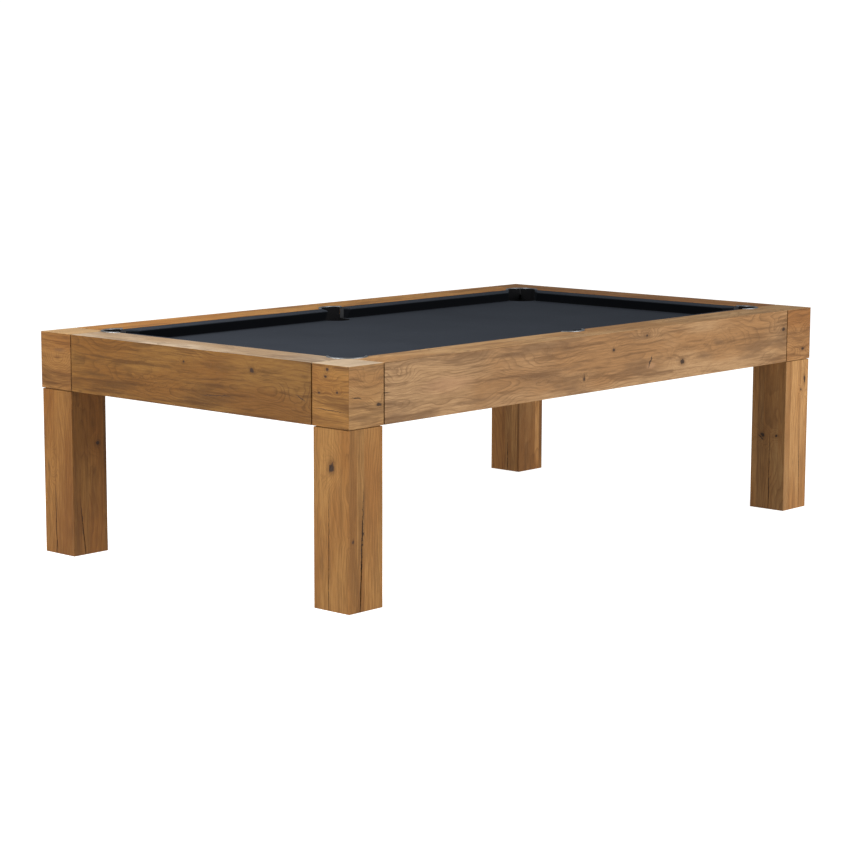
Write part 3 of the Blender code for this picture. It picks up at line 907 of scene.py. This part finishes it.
railSides = {
    "right": ((0, -1), "X", ["head_right", "side_right", "foot_right"]),
    "left": ((0, 1), "X", ["head_left", "side_left", "foot_left"]),
    "head": ((-1, 0), "Y", ["head_right", "head_left"]),
    "foot": ((1, 0), "Y", ["foot_right", "foot_left"]),
}
boardLook = {
    "right": {
        "seed": 1.3,
        "heart": (-halfWidth + 0.055, 0.69),
        "lean": (0.035, 0.030),
        "marks": [
            ("knot", 0.045, 0.738, 0.007, 0.0045, 0),
            ("crack", 0.264, 0.677, 0.024, 0.0030, -60),
            ("pale", 0.268, 0.661, 0.040, 0.016, 0),
            ("knot", 0.462, 0.659, 0.013, 0.008, 20),
            ("swirl", 0.561, 0.681, 0.120, 0.045, 0),
            ("smoke", 0.600, 0.672, 0.070, 0.022, 0),
            ("smoke", 0.693, 0.715, 0.060, 0.018, 12),
            ("swirl", 0.693, 0.715, 0.090, 0.040, 0),
            ("knot", 1.130, 0.727, 0.010, 0.005, 0),
            ("knot", -0.124, 0.649, 0.005, 0.005, 0),
            ("crack", -0.124, 0.655, 0.018, 0.0014, 90),
            ("smoke", -0.458, 0.689, 0.035, 0.006, 0),
            ("swirl", 0.242, 0.774, 0.070, 0.030, 0),
            ("knot", 0.242, 0.774, 0.006, 0.003, 0),
            ("swirl", -0.301, 0.725, 0.200, 0.050, 0),
            ("swirl", -1.092, 0.731, 0.080, 0.045, 0),
            ("crack", -1.148, 0.701, 0.020, 0.0012, 0),
            ("smoke", -0.700, 0.630, 0.160, 0.012, 0),
            ("smoke", 0.900, 0.640, 0.120, 0.014, 0),
            ("pale", -0.850, 0.700, 0.180, 0.040, 0),
        ],
    },
    "left": {
        "seed": 5.1,
        "heart": (halfWidth - 0.060, 0.71),
        "lean": (-0.030, 0.036),
        "marks": [
            ("knot", -0.600, 0.690, 0.012, 0.007, 0),
            ("knot", 0.450, 0.655, 0.014, 0.008, 15),
            ("swirl", 0.120, 0.720, 0.100, 0.045, 0),
            ("smoke", 0.480, 0.665, 0.080, 0.018, 0),
            ("smoke", -0.950, 0.700, 0.070, 0.014, 0),
        ],
    },
    "head": {
        "seed": 8.2,
        "heart": (0.70, -halfLength + 0.050),
        "lean": (0.06, 0.03),
        "marks": [
            ("knot", -0.324, 0.751, 0.010, 0.006, 30),
            ("knot", 0.008, 0.753, 0.004, 0.003, 0),
            ("smoke", 0.094, 0.728, 0.050, 0.012, 0),
            ("smoke", -0.010, 0.684, 0.045, 0.007, 0),
            ("crack", -0.550, 0.681, 0.022, 0.0016, 25),
            ("swirl", -0.530, 0.690, 0.075, 0.045, 0),
            ("crack", -0.155, 0.653, 0.080, 0.0012, -4),
            ("smoke", 0.550, 0.601, 0.020, 0.010, 0),
            ("smoke", -0.568, 0.751, 0.035, 0.014, 0),
            ("smoke", 0.470, 0.672, 0.140, 0.018, 4),
            ("smoke", 0.330, 0.640, 0.120, 0.012, 0),
            ("swirl", 0.150, 0.700, 0.180, 0.045, 0),
        ],
    },
    "foot": {
        "seed": 11.4,
        "heart": (0.72, halfLength - 0.055),
        "lean": (-0.05, 0.04),
        "marks": [
            ("knot", -0.220, 0.690, 0.012, 0.007, 0),
            ("knot", 0.360, 0.670, 0.014, 0.008, 20),
            ("smoke", 0.100, 0.730, 0.080, 0.014, 0),
            ("swirl", -0.400, 0.700, 0.100, 0.045, 0),
        ],
    },
}


def makeBoards(side):
    outward, grain, pockets = railSides[side]
    look = boardLook[side]
    face = ("X", outward[0] * halfLength) if outward[0] else ("Y", outward[1] * halfWidth)
    low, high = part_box("apron_" + side)
    high.z = tableTop
    apron = addBox("oak_apron_" + side, low, high)
    mitreOff(apron, outward, False)
    softenArris(apron, outward)
    easeEdges(apron, board["ease"], 2, 60)
    finish = oak("oak_apron_" + side, grain, tones["apron_" + side], look["seed"],
                 look["heart"], look["lean"], marksOn({face: look["marks"]}))
    finishPiece(apron, "table", "apron_oak", finish, "apron_" + side)

    low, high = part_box("rail_cap_" + side)
    cap = addBox("oak_rail_" + side, low, high)
    mitreOff(cap, outward, True)
    softenArris(cap, outward)
    for name in pockets:
        cutPocket(cap, name)
    easeEdges(cap, board["ease"], 2, 60)
    finish = oak("oak_rail_" + side, grain, tones["rail_" + side], look["seed"] + 0.6,
                 look["heart"], look["lean"], bores=pockets)
    finishPiece(cap, "table", "cap_oak", finish, "rail_cap_" + side)


for side in railSides:
    makeBoards(side)
print("aprons and rails made")


blockMarks = {
    "head_right": {
        ("X", -halfLength): [
            ("knot", -0.668, 0.784, 0.006, 0.004, 0),
            ("knot", -0.660, 0.761, 0.006, 0.004, 0),
            ("knot", -0.631, 0.706, 0.005, 0.003, 0),
            ("knot", -0.711, 0.714, 0.005, 0.003, 0),
            ("crack", -0.680, 0.654, 0.070, 0.0011, 2),
        ],
        ("Y", -halfWidth): [
            ("knot", -1.181, 0.667, 0.012, 0.005, 0),
            ("crack", -1.284, 0.697, 0.024, 0.0014, 10),
            ("swirl", -1.223, 0.735, 0.060, 0.050, 0),
            ("smoke", -1.250, 0.625, 0.060, 0.012, 0),
        ],
    },
    "head_left": {
        ("X", -halfLength): [
            ("swirl", 0.680, 0.700, 0.070, 0.045, 0),
            ("smoke", 0.660, 0.740, 0.050, 0.012, 0),
        ],
    },
    "foot_right": {
        ("Y", -halfWidth): [
            ("swirl", 1.240, 0.690, 0.070, 0.045, 0),
            ("knot", 1.270, 0.640, 0.010, 0.005, 0),
        ],
    },
    "foot_left": {
        ("Y", halfWidth): [
            ("swirl", 1.240, 0.700, 0.070, 0.045, 0),
        ],
    },
}


# The blocks' tops, given paler tones as painted sheen; the near head-right block is palest.
blockTopSheen = {
    "head_right": (0.520, 0.405, 0.280),
    "head_left": (0.420, 0.270, 0.130),
    "foot_right": (0.380, 0.220, 0.090),
    "foot_left": (0.270, 0.125, 0.036),
}


def makeBlock(end, side, corner):
    low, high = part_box("corner_block_" + corner)
    piece = addBox("oak_corner_" + corner, low, high)
    inner = Vector((end * (halfLength - boardThickness), side * (halfWidth - boardThickness), 0))
    past = Vector((end * (halfLength - 0.4), side * (halfWidth - 0.4), 0))
    hollowLow = (min(inner.x, past.x), min(inner.y, past.y), low.z - 0.1)
    hollowHigh = (max(inner.x, past.x), max(inner.y, past.y), tableTop - boardThickness)
    cutWith(piece, addBox("hollow", hollowLow, hollowHigh))
    cutPocket(piece, corner)
    easeEdges(piece, board["ease"], 2, 60)
    finish = oak("oak_corner_" + corner, "box", tones["corner_" + corner],
                 20.0 + 3 * end + side * 1.7, (0.62, 0.045), (0.05, 0.0),
                 marksOn(blockMarks[corner]), sheenTopTone=blockTopSheen[corner], bores=[corner])
    finishPiece(piece, "table", "corner_oak", finish, "corner_block_" + corner)


for end, side, corner in corners:
    makeBlock(end, side, corner)
print("corner blocks made")


# Cushions: rubber on the subrail's shoulder under one wrap of cloth, tucked in at the cap's
# edge and turned under at the bed.
cushion = {
    "cornerAngle": 142.0,
    "sideAngle": 104.0,
    "cornerCut": 0.0875,
    "sideCut": 0.065,
    "endAt": 0.17,
    "capGap": 0.0004,
    "topDrop": 0.0011,
    "topFrom": 0.0026,
    "crown": 0.0008,
    "noseHeight": 0.0363,
    "noseRadius": 0.0032,
    "tuck": 0.0045,
    "shoulder": 0.0168,
    "shoulderDrop": 0.0030,
    "bedGap": 0.0006,
    "throat": (0.0135, 0.0125),
    "heel": (0.0170, 0.0060),
    "sole": (0.0185, 0.0310),
    "ease": 0.0012,
}
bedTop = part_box("bed_cloth")[1].z
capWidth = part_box("rail_cap_head")[1].x + halfLength
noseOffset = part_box("cushion_head")[1].x + halfLength


def cushionOutline():
    nose = bedTop + cushion["noseHeight"]
    radius = cushion["noseRadius"]
    top = tableTop - cushion["topDrop"]
    start = capWidth + cushion["topFrom"]
    wrap = capWidth + cushion["capGap"]
    back = capWidth + cushion["shoulder"]
    shoulder = tableTop - cushion["shoulderDrop"]
    under = bedTop + cushion["bedGap"]
    outline = [(wrap, top - cushion["tuck"]), (capWidth + 0.0008, top - 0.0012), (start, top)]
    reach = noseOffset - radius - start
    for step in range(1, 6):
        share = step / 6
        fall = (top - (nose + radius * 0.9)) * share
        crown = cushion["crown"] * math.sin(math.pi * share)
        outline.append((start + reach * share, top - fall + crown))
    for step in range(9):
        angle = math.radians(78 - step * 17)
        across = noseOffset - radius + radius * math.cos(angle)
        outline.append((across, nose + radius * math.sin(angle)))
    for inward, height in (cushion["throat"], cushion["heel"]):
        outline.append((noseOffset - inward, bedTop + height))
    outline += [(noseOffset - inward, under) for inward in cushion["sole"]]
    outline += [(back, under), (back, shoulder), (wrap, shoulder - cushion["tuck"])]
    return outline


def facingPlane(x, half, side, angle):
    lean = math.radians(180.0 - angle)
    return Vector((x, noseOffset - half, 0)), Vector((side * math.sin(lean), math.cos(lean), 0))


def makeCushion(name, turnBy, half, first, last, cuts, material):
    outline = [(offset - half, height) for offset, height in cushionOutline()]
    piece = drawSection("cushion_cloth_" + name, outline, first, last)
    for point, away in cuts:
        sawAlong(piece, point, away)
    piece.rotation_euler.z = turnBy
    settle(piece)
    low = Vector([min(corner[axis] for corner in piece.bound_box) for axis in range(3)])
    high = Vector([max(corner[axis] for corner in piece.bound_box) for axis in range(3)])
    margin = 0.06
    radius = pocket["bore"] - 0.0002
    for pocketName in pocketNames:
        centre = pocketCentre(pocketName)
        if all(low[axis] - margin < centre[axis] < high[axis] + margin for axis in (0, 1)):
            cutWith(piece, addCylinder("bore", centre, radius, bedTop - 0.1, tableTop + 0.1))
    easeEdges(piece, cushion["ease"], 3, 40)
    finishPiece(piece, "table", "cushion_cloth", material, "cushion_" + name)


clothMaterial = clothFinish("bed_cloth_weave", tones["cloth"])
# The cushions' cloth carries painted shade below the nose.
cushionMaterial = clothFinish(
    "cushion_cloth_weave", tones["cloth"], bedTop + cushion["noseHeight"]
)
quarter = math.pi / 2


# The two facings at a rail's corners.
def cornerCuts(length, across):
    nose = length - noseOffset - cushion["cornerCut"]
    return [facingPlane(end * nose, across, end, cushion["cornerAngle"]) for end in (-1, 1)]


endAt = cushion["endAt"]
for side, turnBy in (("right", 0.0), ("left", 2 * quarter)):
    headEnd, footEnd = cornerCuts(halfLength, halfWidth)
    before = facingPlane(-cushion["sideCut"], halfWidth, 1, cushion["sideAngle"])
    after = facingPlane(cushion["sideCut"], halfWidth, -1, cushion["sideAngle"])
    first, second = ("head", "foot") if side == "right" else ("foot", "head")
    makeCushion(side + "_" + first, turnBy, halfWidth, -halfLength + endAt, 0,
                (headEnd, before), cushionMaterial)
    makeCushion(side + "_" + second, turnBy, halfWidth, 0, halfLength - endAt,
                (after, footEnd), cushionMaterial)
for side, turnBy in (("head", -quarter), ("foot", quarter)):
    makeCushion(side, turnBy, halfLength, -halfWidth + endAt, halfWidth - endAt,
                cornerCuts(halfWidth, halfLength), cushionMaterial)
print("cushions made")


# Takes away what would stand in the playing field above a height.
def openField(piece, bottom, top):
    x = halfLength - capWidth
    y = halfWidth - capWidth
    cutWith(piece, addBox("field", (-x, -y, bottom), (x, y, top + 0.01)))
    smoothBelow(piece, 35)


# Pocket rims: satin metal beads let into the woodwork, open towards the field.
rim = {"squeeze": 0.97, "fullness": 0.6, "foot": 0.0004, "lip": 0.0002, "steps": 10}


def makeRim():
    low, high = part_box("pocket_rim_head_right")
    inner, outer = pocket["rimInner"], pocket["rimOuter"]
    middle, half = (outer + inner) / 2, (outer - inner) / 2
    foot, lip = rim["foot"], tableTop + rim["lip"]
    outline = [(inner, low.z), (outer - foot, low.z), (outer, low.z + foot), (outer, lip)]
    rise = high.z - tableTop - foot
    for step in range(rim["steps"] + 1):
        angle = math.pi * step / rim["steps"]
        across = middle + half * math.cos(angle) * rim["squeeze"]
        height = tableTop + foot + rise * math.sin(angle) ** rim["fullness"]
        outline.append((across, height))
    outline.append((inner, lip))
    return turn("rim", outline, 128)


# Pocket liners: moulded cups with a collar under the slate.
liner = {"wall": 0.004, "lip": 0.001, "collarGap": 0.0003, "collar": 0.003}


def makeLiner():
    low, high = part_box("pocket_bucket_head_right")
    inner, outer = pocket["linerRadius"], pocket["linerOuter"]
    collar = high.x - pocketCentre("head_right").x
    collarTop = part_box("slate_middle")[0].z - liner["collarGap"]
    collarFoot = collarTop - liner["collar"]
    lip = liner["lip"]
    outline = [
        (0, low.z + liner["wall"]),
        (inner - 0.010, low.z + liner["wall"]),
        (inner - 0.003, low.z + 0.0065),
        (inner, low.z + 0.013),
        (inner, high.z - lip),
        (inner + lip, high.z),
        (outer - lip, high.z),
        (outer, high.z - lip),
        (outer, collarTop),
        (collar - lip, collarTop),
        (collar, collarTop - lip),
        (collar, collarFoot),
        (outer + 0.002, collarFoot),
        (outer, collarTop - 0.005),
        (outer, low.z + 0.010),
        (outer - 0.003, low.z + 0.003),
        (outer - 0.010, low.z),
        (0, low.z),
    ]
    return turn("liner", outline, 72)


rimMaterial = satinMetal("satin_nickel", (0.25, 0.26, 0.27), roughness=0.46)
linerMaterial = mouldedBlack("black_liner", (0.0035, 0.0035, 0.004), 0.75, 0.08)
pattern = makeRim()
for name in pocketNames:
    low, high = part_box("pocket_rim_" + name)
    piece = copyAt(pattern, "metal_rim_" + name, pocketCentre(name))
    openField(piece, low.z - 0.01, high.z)
    finishPiece(piece, "table", "rim_metal", rimMaterial, "pocket_rim_" + name)
bpy.data.objects.remove(pattern)
pattern = makeLiner()
for name in pocketNames:
    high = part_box("pocket_bucket_" + name)[1]
    piece = copyAt(pattern, "pocket_liner_" + name, pocketCentre(name))
    openField(piece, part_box("slate_middle")[1].z - 0.0003, high.z)
    finishPiece(piece, "table", "pocket_black", linerMaterial, "pocket_bucket_" + name)
bpy.data.objects.remove(pattern)
print("pockets made")


# Bed cloth: one stretched sheet with a skirt over the slate's edge, cut out at the pockets.
sheet = {"thickness": 0.001, "skirt": 0.022, "reach": 0.0005, "lift": 0.0002, "ease": 0.0003}


def makeBedCloth():
    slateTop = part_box("slate_middle")[1].z
    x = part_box("slate_foot")[1].x + sheet["reach"]
    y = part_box("slate_foot")[1].y + sheet["reach"]
    thick = sheet["thickness"]
    drop = slateTop - sheet["skirt"]
    low, high = drop - 0.05, bedTop + 0.05
    radius = pocket["bore"]
    outer = Vector((x + thick, y + thick, bedTop))
    piece = addBox("bed_cloth_sheet", (-outer.x, -outer.y, drop), outer)
    cutWith(piece, addBox("under", (-x, -y, drop - 0.01), (x, y, slateTop + sheet["lift"])))
    for name in pocketNames:
        centre = pocketCentre(name)
        cutWith(piece, addCylinder("bore", centre, radius, low, high))
        slot = addBox("slot", (0, -radius, low), (0.4, radius, high))
        outX = 0 if name.startswith("side") else math.copysign(1, centre.x)
        slot.rotation_euler.z = math.atan2(math.copysign(1, centre.y), outX)
        slot.location = (centre.x, centre.y, 0)
        cutWith(piece, settle(slot))
    easeEdges(piece, sheet["ease"], 2, 50)
    finishPiece(piece, "table", "bed_cloth", clothMaterial, "bed_cloth")


makeBedCloth()


# Levellers: a nylon foot pad under a threaded screw with a hexagon for the spanner.
thread = {
    "pitch": 0.00175,
    "crest": 0.0059,
    "depth": 0.0008,
    "steps": 20,
    "merge": 0.00002,
    "trim": 0.0004,
    "hexagon": (0.0117, 0.0193),
}
pad = {"height": 0.0060, "socket": 0.0043, "socketRadius": 0.0064, "neck": 0.0120}


def makePad():
    low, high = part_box("leveller_pad_head_right")
    radius = (high.x - low.x) / 2
    neck, socket, top = pad["neck"], pad["socketRadius"], low.z + pad["height"]
    outline = [
        (0, low.z + 0.0004),
        (radius - 0.0060, low.z + 0.0004),
        (radius - 0.0050, low.z),
        (radius - 0.0016, low.z),
        (radius, low.z + 0.0014),
        (radius, low.z + 0.0036),
        (radius - 0.0016, top - 0.0004),
        (radius - 0.0050, top),
        (neck + 0.0006, top),
        (neck, top + 0.0006),
        (neck - 0.0004, high.z - 0.0006),
        (neck - 0.0010, high.z),
        (socket + 0.0006, high.z),
        (socket, high.z - 0.0006),
        (socket, low.z + pad["socket"]),
        (0, low.z + pad["socket"]),
    ]
    return turn("pad", outline, 72)


def makeScrew():
    low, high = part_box("leveller_screw_head_right")
    crest, pitch = thread["crest"], thread["pitch"]
    root = crest - thread["depth"]
    tooth = [(root, 0), (crest, 0.42), (crest, 0.58), (root, 1.0)]
    points = [(across, 0, low.z + pitch * (share - 1.5)) for across, share in tooth]
    screw = drawRing("screw", points, leaveOpen=True)
    wind(screw, thread["steps"], thread["merge"], pitch, int((high.z - low.z) / pitch) + 3)
    onAll(screw, lambda: bpy.ops.mesh.remove_doubles(threshold=thread["merge"]))
    evenOut(screw)
    sawAlong(screw, (0, 0, low.z + thread["trim"]), (0, 0, -1))
    sawAlong(screw, (0, 0, high.z - thread["trim"]), (0, 0, 1))
    evenOut(screw)
    hexagon = addCylinder("hexagon", (0, 0), (high.x - low.x) / 2, *thread["hexagon"], 6)
    easeEdges(hexagon, 0.0006, 2, 30)
    cutWith(screw, hexagon, "UNION")
    smoothBelow(screw, 25)
    return screw


steelMaterial = satinMetal("zinc_steel", (0.50, 0.50, 0.52), (1.0, 1.0, 0.1), 0.38)
padMaterial = mouldedBlack("black_nylon", (0.018, 0.018, 0.019), 0.5, 0.4)
patterns = {
    "leveller_pad_": (makePad(), "foot_pad_", "leveller_black", padMaterial),
    "leveller_screw_": (makeScrew(), "steel_screw_", "leveller_steel", steelMaterial),
}
for end, side, corner in corners:
    for kind, (pattern, pieceName, slotName, material) in patterns.items():
        low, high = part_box(kind + corner)
        piece = copyAt(pattern, pieceName + corner, (low + high) / 2)
        finishPiece(piece, kind + corner, slotName, material, kind + corner)
for pattern, pieceName, slotName, material in patterns.values():
    bpy.data.objects.remove(pattern)
print("cloth and levellers made")


# Pieces that keep their solids and take a finish.
slateMaterial = groundSlate("ground_slate")
pineLong = sawnPine("sawn_pine_long", "X", 0.3)
pineShort = sawnPine("sawn_pine_short", "Y", 1.1)
for name, node in frame["nodes"].items():
    material = None
    if name.startswith("slate"):
        material = slateMaterial
    elif name.startswith(("side_beam", "centre_beam", "subrail_right", "subrail_left")):
        material = pineLong
    elif name.startswith(("end_beam", "cross_beam", "subrail")):
        material = pineShort
    if material:
        node.data.materials.clear()
        node.data.materials.append(material)


# Floor, lights and camera.
studio = {
    "floor": (0.60, 0.60, 0.60),
    "floorGlow": (0.36, 0.95),
    "floorDrop": 0.0004,
    "skyLight": 0.28,
    "cameraPlace": (-6.649, -5.890, 1.717),
    "lookAlong": (0.7346, 0.6623, -0.1473),
    "roll": 0.155,
    "lens": 100.29,
}


def makeStage():
    deselectAll()
    bpy.ops.mesh.primitive_circle_add(
        vertices=96, radius=60, fill_type="NGON", location=(0, 0, -studio["floorDrop"])
    )
    floor = bpy.context.object
    floor.name = "studio_floor"
    t = Tree("studio_floor")
    t.shader.inputs["Base Color"].default_value = (*studio["floor"], 1.0)
    t.shader.inputs["Roughness"].default_value = 0.9
    t.shader.inputs["Specular IOR Level"].default_value = 0.1
    t.shader.inputs["Emission Color"].default_value = (1.0, 1.0, 1.0, 1.0)
    seenBy = t.nodes.new("ShaderNodeLightPath").outputs["Is Camera Ray"]
    t.give("Emission Strength", t.remap(seenBy, 0.0, 1.0, *studio["floorGlow"]))
    # Seen from below the floor is clear, so that the underside can be looked at.
    clear = t.nodes.new("ShaderNodeBsdfTransparent")
    pick = t.nodes.new("ShaderNodeMixShader")
    t.links.new(t.nodes.new("ShaderNodeNewGeometry").outputs["Backfacing"], pick.inputs["Fac"])
    t.links.new(t.shader.outputs["BSDF"], pick.inputs[1])
    t.links.new(clear.outputs["BSDF"], pick.inputs[2])
    t.links.new(pick.outputs["Shader"], t.nodes["Material Output"].inputs["Surface"])
    floor.data.materials.append(t.material)
    world = bpy.data.worlds.new("studio")
    scene.world = world
    world.use_nodes = True
    nodes = world.node_tree.nodes
    links = world.node_tree.links
    nodes.clear()
    output = nodes.new("ShaderNodeOutputWorld")
    seen = nodes.new("ShaderNodeBackground")
    seen.inputs["Color"].default_value = (1.0, 1.0, 1.0, 1.0)
    seen.inputs["Strength"].default_value = 1.05
    lighting = nodes.new("ShaderNodeBackground")
    lighting.inputs["Color"].default_value = (0.97, 0.985, 1.0, 1.0)
    lighting.inputs["Strength"].default_value = studio["skyLight"]
    pick = nodes.new("ShaderNodeMixShader")
    path = nodes.new("ShaderNodeLightPath")
    links.new(path.outputs["Is Camera Ray"], pick.inputs["Fac"])
    links.new(lighting.outputs[0], pick.inputs[1])
    links.new(seen.outputs[0], pick.inputs[2])
    links.new(pick.outputs[0], output.inputs["Surface"])


def addSoftBox(name, place, target, size, power):
    light = bpy.data.lights.new(name, "AREA")
    light.shape = "RECTANGLE"
    light.size, light.size_y = size
    light.energy = power
    lamp = bpy.data.objects.new(name, light)
    scene.collection.objects.link(lamp)
    lamp.location = place
    lamp.rotation_euler = (Vector(target) - Vector(place)).to_track_quat("-Z", "Y").to_euler()


def makeCamera():
    data = bpy.data.cameras.new("camera")
    data.lens = studio["lens"]
    data.sensor_width = 36.0
    data.clip_end = 200.0
    camera = bpy.data.objects.new("camera", data)
    scene.collection.objects.link(camera)
    ahead = Vector(studio["lookAlong"]).normalized()
    upright = ahead.to_track_quat("-Z", "Y").to_matrix().to_4x4()
    rolled = upright @ Matrix.Rotation(math.radians(studio["roll"]), 4, "Z")
    camera.matrix_world = Matrix.Translation(studio["cameraPlace"]) @ rolled
    scene.camera = camera


makeStage()
addSoftBox("key", (1.5, -6.5, 2.8), (0, 0, 0.6), (4.5, 3.0), 420)
addSoftBox("fill", (-6.5, 0.5, 2.6), (-0.5, 0, 0.5), (4.0, 3.0), 96)
addSoftBox("top", (-2.7, 0.5, 2.7), (-1.0, 0.1, 0.7), (1.6, 2.4), 105)
makeCamera()
scene.view_settings.view_transform = "Standard"
scene.view_settings.look = "None"
print("stage and camera made")
